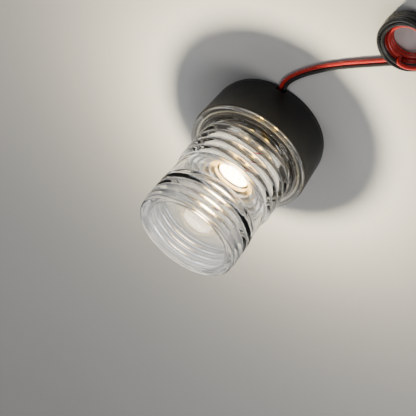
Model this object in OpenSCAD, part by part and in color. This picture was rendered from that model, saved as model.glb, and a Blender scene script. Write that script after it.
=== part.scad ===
// All-round navigation light: a black surface-mount base and a clear ribbed lens
// that unscrews from it, over a small LED post, with two supply leads.
// Millimetres. +Z runs along the lens, from the mounting face to the lens end.
// The origin is the centre of the mounting face. The leads leave towards -Y.

/* [Base] */
// Largest diameter of the base housing
base_d = 64; // [63.5:0.1:66]
// Height of the base housing's top edge above the mounting face
base_top = 24.4; // [24.2:0.1:24.6]
// How much smaller the radius is at the mounting end
base_taper = 0.8; // [0:0.1:1.5]
// Thickness of the mounting gasket
gasket_t = 1.2; // [0.8:0.1:1.6]
// Thickness of the base floor
floor_t = 5; // [4.6:0.1:5.2]
// Radius of the threaded bore
bore_r = 28.4; // [28.4:0.1:28.8]

/* [Mounting holes] */
// Pitch circle diameter of the mounting holes
mount_pcd = 44; // [43:0.5:44]
// Radius of each mounting hole
mount_r = 2.1; // [1.6:0.1:2.4]
// Number of mounting holes
mount_count = 3; // [3:1:3]

/* [Lens] */
// Diameter of the thin clear flange
flange_d = 62.8; // [62:0.1:63.4]
// Height of the whole light
total_h = 83.2; // [82:0.1:86]
// Crest radius of the lower drum
drum1_r = 26.1; // [25.6:0.1:26.4]
// Crest radius of the upper drum
drum2_r = 25.6; // [25:0.1:26]
// Depth of the grooves between the ribs
rib_depth = 2; // [1.2:0.1:2.2]
// Ribs on the lower drum
drum1_ribs = 4; // [3:1:6]
// Ribs on the upper drum
drum2_ribs = 4; // [3:1:6]
// Outer radius of the smooth neck
neck_r = 25; // [24.4:0.1:25.2]

/* [Lens thread] */
// Rise of the lens in one full turn
thread_lead = 9; // [8.4:0.1:9.6]
// Number of thread starts
thread_starts = 3; // [3:1:3]
// Clearance between lens thread and base thread
thread_gap = 0.3; // [0.25:0.05:0.35]

/* [LED post] */
// Number of flat sides, each with a board
post_sides = 6; // [6:1:6]
// Width across the flats
post_af = 12; // [11:0.5:12]
// Height of the top of the post
post_top = 37.6; // [37:0.1:38]
// LEDs on each side board
side_led_rows = 2; // [1:1:3]
// Columns and rows of LEDs on the top board
top_led_grid = 3; // [2:1:3]

/* [Leads] */
// Outer diameter of each supply lead
lead_d = 1.8; // [1.6:0.1:1.9]

/* [Hidden] */

$fn = 96;
small_fn = 32;
mid_fn = 48;
eps = 0.01;
overlap = 0.3;
// How far a cutter runs past the face it cuts
cut = 1;
// Play of a part in the hole it sits in, and of a screw in the part it holds
press_gap = 0.05;
screw_gap = 0.2;

// Base
base_r = base_d / 2;
back_r = base_r - base_taper;
floor_top = gasket_t + floor_t;
base_edge_r = 2.4;
rim_chamfer = 0.5;
gasket_in_r = 25.4;
gasket_out_r = back_r - 1;
seal_seat_r = 29.7;
seal_seat_z = 22.2;
mount_boss_r = 4.8;
mount_boss_top = floor_top + 1.4;
mount_head_r = 4;
mount_head_z = gasket_t + 4;
mount_angle0 = 90;
channel_w = 4.6;
channel_top = 4.1;
grommet_hole_r = 3.4;
grommet_flange = 1.4;
bore_chamfer = 1;

// Driver board and its cover
board_r = 14.2;
board_z = 11.4;
board_t = 1.6;
board_top = board_z + board_t;
standoff_r = 2.2;
standoff_pos = 11;
standoff_angle0 = 45;
screw_r = 1.1;
screw_head_r = 2;
screw_head_h = 1.3;
screw_len = 4;
ear_screw_len = 5.2;
cover_r = 16.6;
cover_wall = 1.6;
cover_z = floor_top + 0.1;
cover_top = 22.4;
cover_roof = 2;
ear_pos = 19.2;
ear_r = 3;
ear_boss_top = 8.8;
ear_t = 1.8;
ear_angle0 = 30;
feed_slot = [5, 2.6];
feed_pos = 8.9;
cover_edge = 1;
boss_gap = 0.8;

// Parts on the driver board: positions on the board, then sizes
inductor_pos = [4.6, -5];
inductor_r = 3.6;
inductor_core_r = 2.6;
inductor_h = 4.6;
inductor_disc_h = 1;
bridge_pos = [-8.6, -6];
bridge_size = [4.8, 3.8, 2];
bridge_lift = 0.2;
bridge_leg = [1.1, 1, 0.5];
bridge_legs = [[0.4, -0.8], [3.2, -0.8], [0.4, 3.6], [3.2, 3.6]];
chip_pos = [-3, -0.4];
chip_size = [4.9, 3.9, 1.4];
chip_lift = 0.15;
chip_pin = [0.45, 1, 0.4];
chip_pin_pitch = 1.27;
chip_pin_x0 = 0.35;
chip_pin_y = [-0.9, 3.8];
input_cap_pos = [-7.6, 7.2];
input_cap_r = 3;
input_cap_h = 6;
output_cap_pos = [7.4, 1.8];
output_cap_r = 2.5;
output_cap_h = 5.4;
cap_base_h = 0.8;
cap_base_in = 0.25;
resistor_size = [2, 1.2, 0.6];
resistor_pos = [[-2, -8.4], [-2, -6.4], [-2, -4.4], [1, 5], [3.6, 9.4], [-4, 10.6]];

// LED post
foot_r = 11;
foot_t = 2;
foot_top = cover_top + foot_t;
post_in_r = post_af / 2;
post_screw_pos = 9;
post_screw_r = 0.9;
post_screw_head_r = 1.6;
post_screw_head_h = 1;
post_screw_len = 3.6;
post_hole_gap = 0.1;
strip_w = 5.4;
strip_t = 1;
strip_low_gap = 0.6;
strip_top_gap = 0.4;
strip_z0 = foot_top + strip_low_gap;
strip_h = post_top - strip_z0 - strip_top_gap;
led_w = 2.8;
led_l = 3.5;
led_t = 0.8;
led_row_pitch = 5.2;
top_board_r = 8.2;
top_board_t = 1.2;
top_pitch_x = 3.6;
top_pitch_y = 4.2;
feed_r = 0.6;
feed_x = 1.4;
feed_end_y = 8.3;

// Lens
flange_r = flange_d / 2;
spigot_r = 27;
spigot_in_r = 24.6;
spigot_z = 14.6;
flange_gap = 0.3;
flange_z = base_top + flange_gap;
flange_edge = 0.4;
flange_web = 0.5;
flange_top = 26.7;
root_r = 26.4;
root_z = 28.1;
drum1_top = 50.6;
drum2_z = 63.4;
lip_h = 1.6;
lip_in = 0.3;
lip_edge = 0.4;
end_rim_h = 2.6;
end_rim_r = 25.2;
end_round = 1.3;
end_land = 0.6;
end_undercut = 1.2;
end_inside_chamfer = 1.4;
lens_in1 = 22.3;
lens_in2 = 21.6;
end_t = 2.6;
ring_gap = 0.1;
// Offsets from the foot of the lower drum, down the flare to the flange
flare = [[0, -0.3], [0.5, -0.8], [1.6, -1.2]];
rib_power = 0.8;
rib_facets = 8;
seal_r = 28.5;
seal_section_r = 0.9;
seal_z = 23.5;

// Thread
thread_pitch = thread_lead / thread_starts;
rib_w = 1.2;
rib_crest_w = 0.8;
male_crest_r = bore_r - thread_gap;
female_crest_r = spigot_r + thread_gap;
thread_z0 = 15.4;
male_turn = 225;
female_turn = 180;
thread_step = 5;
thread_angle0 = 11;

// Prism ring: terraces that climb from the LED disc to the neck
prism_in_r = 9.2;
prism_out_r = 22.2;
prism_z0 = 40;
prism_top = 50.4;
prism_steps = 5;
prism_t = 1.8;
prism_toe = 0.4;
prism_draft = 0.3;
prism_drop = 0.2;
prism_lip = 0.6;

// Leads: routes chosen by hand
coil_c = [-45, -91];
coil_in_r = 7.2;
coil_out_r = 12.6;
coil_z = 0.5;
coil_h = 7.2;
lead_r = lead_d / 2;
lead_sides = 8;
lead_x = 1;
lead_gap = 0.02;
tip_r = 0.6;
tip_len = 6;
tie_w = 2.6;
tie_band = 0.5;
tie_head = [2.2, 4.2, 4];
tie_angle = 240;
red_route = [
    [1, 0, 11.3], [1, 0, 8], [1, 0, 5.4], [1, -0.8, 3.2], [1, -2.8, 1.7], [1, -6, 1.1],
    [1, -11, 1], [1, -16, 1], [1, -21, 1], [1, -26, 1], [1, -31, 1], [0.2, -35.4, 1],
    [-1.8, -39.6, 1], [-4.6, -43.8, 1], [-8, -48, 1], [-12, -52.4, 1], [-16.4, -56.6, 1],
    [-21, -60.6, 1], [-26, -64.6, 1], [-31, -68.4, 1], [-36, -72.2, 1.1],
    [-41, -76, 1.2], [-46, -79.6, 1.4], [-50.4, -82.8, 1.4]
];
black_route = [
    [-1, 0, 11.3], [-1, 0, 8], [-1, 0, 5.4], [-1, -0.8, 3.2], [-1, -2.8, 1.7], [-1, -6, 1.1],
    [-1, -11, 1], [-1, -16, 1], [-1, -21, 1], [-1, -26, 1], [-1, -30.6, 1], [-1.8, -34.6, 1],
    [-3.6, -38.4, 1], [-6.2, -42.4, 1], [-9.6, -46.6, 1], [-13.6, -50.8, 1], [-17.8, -55, 1],
    [-22.4, -59, 1], [-27.2, -62.8, 1], [-32.2, -66.6, 1], [-37.2, -70.4, 1.1],
    [-42.2, -74.2, 1.2], [-47.2, -77.8, 1.4], [-51.6, -81.2, 1.4]
];
black_tail_route = [
    [-50.6, -80.8, 6.8], [-55, -83.6, 6.2], [-59, -86.8, 4.4], [-62.6, -90.2, 2.4],
    [-66, -94, 1.2], [-69, -98, 1]
];
red_tail_route = [
    [-46, -82.6, 8.6], [-50.4, -83.2, 8.8], [-54.6, -85.4, 8], [-58.4, -88.6, 6],
    [-61.6, -92.4, 3.4], [-64, -96.4, 1.5], [-66, -100.6, 1]
];

// Points round one section of a tube that runs along a route
function route_dir(route, i) =
    let (a = route[max(i - 1, 0)], b = route[min(i + 1, len(route) - 1)])
    (b - a) / norm(b - a);
function side_of(t) =
    let (s = cross(t, abs(t[2]) > 0.9 ? [0, 1, 0] : [0, 0, 1]))
    s / norm(s);
function tube_ring(p, t, side, r, sides) =
    let (up = cross(side, t))
    [for (k = [0:sides - 1])
        p + r * (cos(360 * (k + 0.5) / sides) * side + sin(360 * (k + 0.5) / sides) * up)];
// The section's side direction is kept level from ring to ring
function level_side(t) = side_of([t[0], t[1] == 0 && t[0] == 0 ? -1 : t[1], 0]);

module loft(rings) {
    n = len(rings[0]);
    last = len(rings) - 1;
    points = [for (ring = rings) for (p = ring) p];
    walls = [for (i = [0:last - 1]) for (j = [0:n - 1])
        for (tri = [
            [i * n + j, i * n + (j + 1) % n, (i + 1) * n + (j + 1) % n],
            [i * n + j, (i + 1) * n + (j + 1) % n, (i + 1) * n + j]
        ]) tri];
    first_cap = [for (j = [1:n - 2]) [0, j + 1, j]];
    last_cap = [for (j = [1:n - 2]) [last * n, last * n + j, last * n + j + 1]];
    polyhedron(points = points, faces = concat(walls, first_cap, last_cap), convexity = 8);
}

module tube(route, r, sides) {
    loft([for (i = [0:len(route) - 1])
        let (t = route_dir(route, i))
        tube_ring(route[i], t, level_side(t), r, sides)]);
}

// A thread rib that climbs with the lead; outline is [r, z] points
module thread_rib(outline, turn) {
    loft([for (a = [0:thread_step:turn])
        [for (p = outline) [p[0] * cos(a), p[0] * sin(a), p[1] + thread_lead * a / 360]]]);
}

function rib_outline(root_r_, crest_r_) = [
    [root_r_, -rib_w / 2], [root_r_, rib_w / 2],
    [crest_r_, rib_crest_w / 2], [crest_r_, -rib_crest_w / 2]
];

module around(count, angle0 = 0) {
    for (k = [0:count - 1]) {
        rotate([0, 0, angle0 + 360 * k / count]) children();
    }
}

// Outline of a rounded corner between two radii, as [r, z] points
function corner(cr, cz, rad, a0, a1, n) =
    [for (i = [0:n]) [cr + rad * cos(a0 + (a1 - a0) * i / n), cz + rad * sin(a0 + (a1 - a0) * i / n)]];

module pan_screw(head_r, head_h, shank_r, length) {
    // head sits on z = 0, shank runs down
    cylinder(r = head_r, h = head_h, $fn = small_fn);
    translate([0, 0, -length]) cylinder(r = shank_r, h = length + eps, $fn = small_fn);
}

module base_shell() {
    rotate_extrude() polygon(concat(
        [[0, gasket_t]],
        corner(back_r - base_edge_r, gasket_t + base_edge_r, base_edge_r, -90, 0, 6),
        [[base_r, base_top - rim_chamfer * 2], [base_r - rim_chamfer, base_top],
         [seal_seat_r, base_top], [seal_seat_r, seal_seat_z], [bore_r, seal_seat_z],
         [bore_r, floor_top + bore_chamfer], [bore_r - bore_chamfer, floor_top], [0, floor_top]]
    ));
}

module base_housing() {
    color("#151515") {
        difference() {
            union() {
                base_shell();
                around(mount_count, mount_angle0) translate([mount_pcd / 2, 0, floor_top - eps])
                    cylinder(r = mount_boss_r, h = mount_boss_top - floor_top, $fn = mid_fn);
                around(3, ear_angle0) translate([ear_pos, 0, floor_top - eps])
                    cylinder(r = ear_r, h = ear_boss_top - floor_top, $fn = mid_fn);
                around(3, standoff_angle0) translate([standoff_pos, 0, floor_top - eps])
                    cylinder(r = standoff_r, h = board_z - floor_top, $fn = mid_fn);
            }
            around(mount_count, mount_angle0) translate([mount_pcd / 2, 0, 0]) {
                cylinder(r = mount_r, h = mount_boss_top + cut, $fn = mid_fn);
                translate([0, 0, mount_head_z])
                    cylinder(r = mount_head_r, h = mount_boss_top, $fn = mid_fn);
            }
            cylinder(r = grommet_hole_r, h = floor_top + cut, $fn = mid_fn);
            translate([-channel_w / 2, -base_r - cut, 0])
                cube([channel_w, base_r + cut, channel_top]);
            around(3, ear_angle0) translate([ear_pos, 0, ear_boss_top - screw_len])
                cylinder(r = screw_r, h = screw_len + cut, $fn = small_fn);
            around(3, standoff_angle0) translate([standoff_pos, 0, board_z - screw_len])
                cylinder(r = screw_r, h = screw_len + cut, $fn = small_fn);
        }
        around(thread_starts, thread_angle0) translate([0, 0, thread_z0 + thread_pitch / 2])
            thread_rib(rib_outline(bore_r + overlap, female_crest_r), female_turn);
    }
}

module mounting_gasket() {
    color("#26262a") difference() {
        cylinder(r = gasket_out_r, h = gasket_t);
        translate([0, 0, -cut]) cylinder(r = gasket_in_r, h = gasket_t + 2 * cut);
        translate([-channel_w / 2, -base_r, -cut])
            cube([channel_w, base_r, gasket_t + 2 * cut]);
    }
}

module cable_grommet() {
    color("#202020") difference() {
        union() {
            translate([0, 0, channel_top])
                cylinder(r = grommet_hole_r - press_gap, h = floor_top - channel_top, $fn = mid_fn);
            translate([0, 0, floor_top])
                cylinder(r1 = grommet_hole_r + grommet_flange, r2 = grommet_hole_r,
                         h = grommet_flange, $fn = mid_fn);
        }
        for (x = [-lead_x, lead_x]) translate([x, 0, 0])
            cylinder(r = lead_r + lead_gap, h = board_z, $fn = small_fn);
    }
}

module driver_board() {
    color("#1d5a34") difference() {
        translate([0, 0, board_z]) cylinder(r = board_r, h = board_t);
        around(3, standoff_angle0) translate([standoff_pos, 0, board_z - cut])
            cylinder(r = screw_r + screw_gap, h = board_t + 2 * cut, $fn = small_fn);
    }
}

module board_screws() {
    color("#b9bcc0") around(3, standoff_angle0) translate([standoff_pos, 0, board_top])
        pan_screw(screw_head_r, screw_head_h, screw_r - press_gap, screw_len);
}

module drum_inductor() {
    color("#3a3a3c") translate([inductor_pos[0], inductor_pos[1], board_top]) {
        cylinder(r = inductor_r, h = inductor_disc_h, $fn = mid_fn);
        cylinder(r = inductor_core_r, h = inductor_h, $fn = mid_fn);
        translate([0, 0, inductor_h - inductor_disc_h])
            cylinder(r = inductor_r, h = inductor_disc_h, $fn = mid_fn);
    }
}

module bridge_rectifier() {
    color("#1a1a1a") translate([bridge_pos[0], bridge_pos[1], board_top + bridge_lift]) {
        cube(bridge_size);
        for (p = bridge_legs) translate([p[0], p[1], -bridge_lift]) cube(bridge_leg);
    }
}

module driver_chip() {
    color("#1a1a1a") translate([chip_pos[0], chip_pos[1], board_top + chip_lift]) {
        cube(chip_size);
        for (k = [0:3]) for (y = chip_pin_y)
            translate([chip_pin_x0 + chip_pin_pitch * k, y, -chip_lift]) cube(chip_pin);
    }
}

module electrolytic(pos, r, h) {
    translate([pos[0], pos[1], board_top]) {
        cylinder(r = r - cap_base_in, h = cap_base_h + eps, $fn = mid_fn);
        translate([0, 0, cap_base_h]) cylinder(r = r, h = h - cap_base_h, $fn = mid_fn);
    }
}

module input_capacitor() {
    color("#23344f") electrolytic(input_cap_pos, input_cap_r, input_cap_h);
}

module output_capacitor() {
    color("#23344f") electrolytic(output_cap_pos, output_cap_r, output_cap_h);
}

module chip_resistors() {
    color("#2b2b2b") for (p = resistor_pos)
        translate([p[0], p[1], board_top]) cube(resistor_size);
}

module driver_cover() {
    color("#1b1b1d") difference() {
        union() {
            rotate_extrude() polygon([
                [0, cover_top - cover_roof], [cover_r - cover_wall, cover_top - cover_roof],
                [cover_r - cover_wall, cover_z], [cover_r, cover_z],
                [cover_r, cover_top - cover_edge], [cover_r - cover_edge, cover_top], [0, cover_top]
            ]);
            around(3, ear_angle0) translate([0, 0, ear_boss_top]) {
                translate([ear_pos, 0, 0]) cylinder(r = ear_r, h = ear_t, $fn = mid_fn);
                translate([cover_r - cover_edge, -ear_r, 0])
                    cube([ear_pos - cover_r + cover_edge, 2 * ear_r, ear_t]);
            }
        }
        around(3, ear_angle0) translate([ear_pos, 0, ear_boss_top - cut])
            cylinder(r = screw_r + screw_gap, h = ear_t + 2 * cut, $fn = small_fn);
        // skirt stands over the ear bosses
        around(3, ear_angle0) translate([ear_pos, 0, 0])
            cylinder(r = ear_r + screw_gap, h = ear_boss_top, $fn = mid_fn);
        around(mount_count, mount_angle0) translate([mount_pcd / 2, 0, 0])
            cylinder(r = mount_boss_r + boss_gap, h = mount_boss_top + boss_gap, $fn = mid_fn);
        translate([-feed_slot[0] / 2, feed_pos - feed_slot[1] / 2, cover_top - cover_roof - cut])
            cube([feed_slot[0], feed_slot[1], cover_roof + 2 * cut]);
        around(2) translate([post_screw_pos, 0, cover_top - cover_roof - cut])
            cylinder(r = post_screw_r, h = cover_roof + 2 * cut, $fn = small_fn);
    }
}

module cover_screws() {
    color("#b9bcc0") around(3, ear_angle0) translate([ear_pos, 0, ear_boss_top + ear_t])
        pan_screw(screw_head_r, screw_head_h, screw_r - press_gap, ear_screw_len);
}

module led_post() {
    color("#a9acb0") difference() {
        union() {
            translate([0, 0, cover_top]) cylinder(r = foot_r, h = foot_t);
            translate([0, 0, cover_top]) rotate([0, 0, 30])
                cylinder(r = post_in_r / cos(30), h = post_top - cover_top, $fn = 6);
        }
        translate([-feed_slot[0] / 2, feed_pos - feed_slot[1] / 2, cover_top - cut])
            cube([feed_slot[0], feed_slot[1], foot_t + 2 * cut]);
        around(2) translate([post_screw_pos, 0, cover_top - cut])
            cylinder(r = post_screw_r + post_hole_gap, h = foot_t + 2 * cut, $fn = small_fn);
    }
}

module post_screws() {
    color("#b9bcc0") around(2) translate([post_screw_pos, 0, foot_top])
        pan_screw(post_screw_head_r, post_screw_head_h, post_screw_r - press_gap, post_screw_len);
}

module side_board(k) {
    color("#e8e8e4") rotate([0, 0, 360 * k / post_sides])
        translate([post_in_r, -strip_w / 2, strip_z0]) cube([strip_t, strip_w, strip_h]);
}

module side_leds(k) {
    mid = strip_z0 + strip_h / 2;
    color("#f2d25a") rotate([0, 0, 360 * k / post_sides])
        for (i = [0:side_led_rows - 1])
            translate([post_in_r + strip_t, -led_w / 2,
                       mid + (i - (side_led_rows - 1) / 2) * led_row_pitch - led_l / 2])
                cube([led_t, led_w, led_l]);
}

module top_board() {
    color("#ecece8") translate([0, 0, post_top]) cylinder(r = top_board_r, h = top_board_t);
}

module top_leds() {
    half = (top_led_grid - 1) / 2;
    color("#f2d25a") for (i = [-half:half]) for (j = [-half:half])
        translate([i * top_pitch_x - led_w / 2, j * top_pitch_y - led_l / 2, post_top + top_board_t])
            cube([led_w, led_l, led_t]);
}

// Up from the driver board through the slot, then in beside the side boards
function feed_route(x) = [
    [x, feed_pos, board_top + eps], [x, feed_pos, 17], [x, feed_pos, 21], [x, feed_pos, 24.6],
    [x, feed_pos - 0.2, 25.8], [x, feed_end_y + 0.1, 26.8], [x, feed_end_y, 27.6],
    [x, feed_end_y, 28.4]
];

module feed_wire_red() {
    color("#b01818") tube(feed_route(feed_x), feed_r, lead_sides);
}

module feed_wire_black() {
    color("#161616") tube(feed_route(-feed_x), feed_r, lead_sides);
}

module lens_seal() {
    color("#1c1c1c") rotate_extrude() translate([seal_r, seal_z])
        circle(r = seal_section_r, $fn = small_fn);
}

// One scalloped rib, from its top down: a convex face between two sharp grooves
function rib_points(z_top, pitch, crest, n) =
    [for (i = [0:n])
        [crest - rib_depth * (1 - pow(sin(180 * i / n), rib_power)), z_top - pitch * i / n]];

function drum_points(z_top, z_low, ribs, crest) =
    let (pitch = (z_top - z_low) / ribs)
    [for (k = [0:ribs - 1]) each rib_points(z_top - k * pitch - eps, pitch - 2 * eps, crest, rib_facets)];

module fresnel_lens() {
    drum2_top = total_h - end_rim_h;
    color("#e6eef2", 0.45) {
        rotate_extrude() polygon(concat(
            [[spigot_in_r, spigot_z], [spigot_in_r, flange_top - flange_web],
             [lens_in1, root_z + flange_web], [lens_in1, drum1_top - ring_gap],
             [lens_in2, drum1_top - ring_gap], [lens_in2, total_h - end_t - end_inside_chamfer],
             [lens_in2 - end_inside_chamfer, total_h - end_t], [0, total_h - end_t], [0, total_h]],
            corner(end_rim_r - end_round, total_h - end_round, end_round, 90, 0, 5),
            [[end_rim_r, drum2_top + end_land],
             [end_rim_r - end_undercut, drum2_top + ring_gap]],
            drum_points(drum2_top, drum2_z + lip_h, drum2_ribs, drum2_r),
            [[drum2_r - lip_in, drum2_z + lip_h - lip_edge / 2],
             [drum2_r - lip_in, drum2_z + lip_edge], [drum2_r - lip_in - lip_edge, drum2_z],
             [neck_r, drum2_z], [neck_r, drum1_top + lip_edge], [neck_r + lip_in, drum1_top]],
            drum_points(drum1_top, root_z, drum1_ribs, drum1_r),
            [for (p = flare) [root_r + p[0], root_z + p[1]]],
            [[flange_r - flange_web, flange_top], [flange_r, flange_top - flange_edge],
             [flange_r, flange_z + flange_edge], [flange_r - flange_edge, flange_z],
             [spigot_r, flange_z], [spigot_r, spigot_z]]
        ));
        around(thread_starts, thread_angle0) translate([0, 0, thread_z0])
            thread_rib([for (i = [3:-1:0]) rib_outline(spigot_r - overlap, male_crest_r)[i]],
                       male_turn);
    }
}

module prism_ring() {
    tread = (prism_out_r - prism_in_r) / prism_steps;
    riser = (prism_top - prism_z0) / prism_steps;
    color("#dfe8ee", 0.5) rotate_extrude() polygon(concat(
        [for (k = [0:prism_steps - 1]) each [
            [prism_in_r + k * tread, prism_z0 + k * riser + (k == 0 ? prism_toe : 0)],
            [prism_in_r + k * tread + prism_draft, prism_z0 + (k + 1) * riser - prism_drop]]],
        [[prism_out_r, prism_top], [prism_out_r, prism_top - prism_t],
         [prism_in_r, prism_z0 - prism_lip]]
    ));
}

module red_lead() {
    color("#b01818") tube(red_route, lead_r, lead_sides);
}

module black_lead() {
    color("#161616") tube(black_route, lead_r, lead_sides);
}

module red_tail() {
    color("#b01818") tube(red_tail_route, lead_r, lead_sides);
}

module black_tail() {
    color("#161616") tube(black_tail_route, lead_r, lead_sides);
}

module bare_tip(route) {
    last = len(route) - 1;
    t = (route[last] - route[last - 1]) / norm(route[last] - route[last - 1]);
    translate(route[last]) rotate([0, 0, atan2(t[1], t[0])]) rotate([0, 90, 0])
        cylinder(r = tip_r, h = tip_len, $fn = small_fn);
}

module red_tip() {
    color("#c9ccd0") bare_tip(red_tail_route);
}

module black_tip() {
    color("#c9ccd0") bare_tip(black_tail_route);
}

module lead_coil() {
    color("#1a1012") translate([coil_c[0], coil_c[1], coil_z]) rotate_extrude()
        translate([coil_in_r, 0]) square([coil_out_r - coil_in_r, coil_h]);
}

module coil_tie() {
    coil_w = coil_out_r - coil_in_r;
    color("#101010") translate([coil_c[0], coil_c[1], 0]) rotate([0, 0, tie_angle])
        translate([coil_in_r - tie_band, 0, 0]) {
            difference() {
                translate([0, -tie_w / 2, 0])
                    cube([coil_w + 2 * tie_band, tie_w, coil_h + coil_z + tie_band]);
                translate([tie_band, -tie_w, coil_z]) cube([coil_w, 2 * tie_w, coil_h]);
            }
            translate([coil_w + 2 * tie_band - eps, -tie_head[1] / 2,
                       coil_z + (coil_h - tie_head[2]) / 2])
                cube(tie_head);
        }
}

base_housing();
mounting_gasket();
cable_grommet();
driver_board();
board_screws();
drum_inductor();
bridge_rectifier();
driver_chip();
input_capacitor();
output_capacitor();
chip_resistors();
driver_cover();
cover_screws();
led_post();
post_screws();
side_board(0);  // side_board_1
side_board(1);  // side_board_2
side_board(2);  // side_board_3
side_board(3);  // side_board_4
side_board(4);  // side_board_5
side_board(5);  // side_board_6
side_leds(0);  // side_leds_1
side_leds(1);  // side_leds_2
side_leds(2);  // side_leds_3
side_leds(3);  // side_leds_4
side_leds(4);  // side_leds_5
side_leds(5);  // side_leds_6
top_board();
top_leds();
feed_wire_red();
feed_wire_black();
lens_seal();
fresnel_lens();
prism_ring();
red_lead();
black_lead();
red_tail();
black_tail();
red_tip();
black_tip();
lead_coil();
coil_tie();
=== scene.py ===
import math

import bpy
from mathutils import Matrix, Quaternion, Vector


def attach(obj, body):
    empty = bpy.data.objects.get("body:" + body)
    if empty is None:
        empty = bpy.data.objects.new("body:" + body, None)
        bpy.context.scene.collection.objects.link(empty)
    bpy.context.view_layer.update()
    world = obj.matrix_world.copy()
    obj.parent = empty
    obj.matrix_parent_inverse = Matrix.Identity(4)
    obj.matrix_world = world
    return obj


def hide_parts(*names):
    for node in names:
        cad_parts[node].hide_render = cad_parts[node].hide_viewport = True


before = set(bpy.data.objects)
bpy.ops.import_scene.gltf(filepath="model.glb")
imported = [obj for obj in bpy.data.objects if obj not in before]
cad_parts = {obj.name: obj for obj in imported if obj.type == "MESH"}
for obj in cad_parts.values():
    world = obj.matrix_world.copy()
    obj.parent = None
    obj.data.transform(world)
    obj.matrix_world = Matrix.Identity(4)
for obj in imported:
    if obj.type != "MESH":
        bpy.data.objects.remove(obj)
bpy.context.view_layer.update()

mm = 0.001
print("frame loaded")


# small helpers

def deselectAll():
    if bpy.context.object and bpy.context.object.mode != "OBJECT":
        bpy.ops.object.mode_set(mode="OBJECT")
    bpy.ops.object.select_all(action="DESELECT")


def pick(obj):
    deselectAll()
    obj.select_set(True)
    bpy.context.view_layer.objects.active = obj


def startEdit(obj):
    pick(obj)
    bpy.ops.object.mode_set(mode="EDIT")
    bpy.ops.mesh.select_all(action="SELECT")


def endEdit():
    bpy.ops.object.mode_set(mode="OBJECT")


def selectFaces(obj, test):
    # test takes a face's middle and its normal
    bpy.ops.object.mode_set(mode="OBJECT")
    for part in (*obj.data.vertices, *obj.data.edges):
        part.select = False
    for face in obj.data.polygons:
        face.select = bool(test(face.center, face.normal))
    bpy.ops.object.mode_set(mode="EDIT")
    bpy.ops.mesh.select_mode(type="FACE")


def bevelEdges(obj, width, segments, test=None):
    # every edge, or those whose two ends pass the test
    startEdit(obj)
    if test:
        bpy.ops.mesh.select_mode(type="EDGE")
        bpy.ops.mesh.select_all(action="DESELECT")
        endEdit()
        ends = obj.data.vertices
        for edge in obj.data.edges:
            edge.select = bool(test(*(ends[v].co for v in edge.vertices)))
        bpy.ops.object.mode_set(mode="EDIT")
    bpy.ops.mesh.bevel(offset=width * mm, segments=segments, affect="EDGES")
    endEdit()


def assignMaterial(obj, index):
    # to the faces that are selected in edit mode
    obj.active_material_index = index
    bpy.ops.object.material_slot_assign()


def settle(obj, angle=35):
    # place goes into the mesh, then smooth shading with sharp edges kept
    pick(obj)
    bpy.ops.object.transform_apply()
    bpy.ops.object.shade_smooth_by_angle(angle=math.radians(angle))
    return obj


def applyModifier(obj, kind, **values):
    pick(obj)
    modifier = obj.modifiers.new(kind.lower(), kind)
    for key, value in values.items():
        setattr(modifier, key, value)
    bpy.ops.object.modifier_apply(modifier=modifier.name)


def combine(obj, others, operation):
    # others are joined first, so they must not overlap when cut away
    tool = joinAll(others)
    applyModifier(obj, "BOOLEAN", object=tool, operation=operation, solver="EXACT")
    bpy.data.objects.remove(tool)


def joinAll(objects):
    deselectAll()
    for o in objects:
        o.select_set(True)
    bpy.context.view_layer.objects.active = objects[0]
    if len(objects) > 1:
        bpy.ops.object.join()
    return objects[0]


def copyOf(obj, matrix):
    twin = obj.copy()
    twin.data = obj.data.copy()
    bpy.context.collection.objects.link(twin)
    twin.data.transform(matrix)
    return twin


def turned(degrees):
    return Matrix.Rotation(math.radians(degrees), 4, "Z")


def around(obj, s, height=0, twist=(0, 0)):
    # copies on a circle, each turned further about itself; obj stands at the origin and is removed
    copies = []
    for k in range(s["count"]):
        out = Matrix.Translation((s["circle"] * mm, 0, height * mm))
        place = turned(s["angle"] + 360 * k / s["count"]) @ out
        copies.append(copyOf(obj, place @ turned(twist[0] + twist[1] * k)))
    bpy.data.objects.remove(obj)
    return copies


def newlyAdded(name):
    # the primitive just added, with its place and size in its mesh
    obj = bpy.context.object
    obj.name = name
    bpy.ops.object.transform_apply()
    return obj


def drawOutline(name, points):
    # one vertex, pushed along the outline in the XZ plane
    deselectAll()
    bpy.ops.mesh.primitive_plane_add(size=mm)
    obj = newlyAdded(name)
    startEdit(obj)
    bpy.ops.mesh.select_mode(type="VERT")
    bpy.ops.mesh.merge(type="CENTER")
    places = [Vector((x * mm, 0, z * mm)) for x, z in points]
    bpy.ops.transform.translate(value=places[0])
    for here, there in zip(places, places[1:]):
        bpy.ops.mesh.extrude_vertices_move(TRANSFORM_OT_translate={"value": there - here})
    endEdit()
    return obj


def closeMesh(obj, gap=0.004):
    startEdit(obj)
    bpy.ops.mesh.remove_doubles(threshold=gap * mm)
    bpy.ops.mesh.normals_make_consistent(inside=False)
    endEdit()
    return obj


def spinOutline(name, points, steps, angle=35):
    obj = drawOutline(name, points)
    startEdit(obj)
    bpy.ops.mesh.spin(steps=steps, angle=2 * math.pi, center=(0, 0, 0), axis=(0, 0, 1))
    endEdit()
    return settle(closeMesh(obj), angle)


def arc(cx, cz, radius, fromAngle, toAngle, count):
    turn = (toAngle - fromAngle) / count
    return [(cx + radius * math.cos(math.radians(fromAngle + turn * i)),
             cz + radius * math.sin(math.radians(fromAngle + turn * i))) for i in range(count + 1)]


def shifted(x, z, steps):
    # points that lie a little way from one corner
    return [(x + dx, z + dz) for dx, dz in steps]


def cylinder(radius, height, bottom, sides=48, name="cutter"):
    deselectAll()
    bpy.ops.mesh.primitive_cylinder_add(vertices=sides, radius=radius * mm, depth=height * mm,
                                        location=(0, 0, (bottom + height / 2) * mm))
    return newlyAdded(name)


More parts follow.
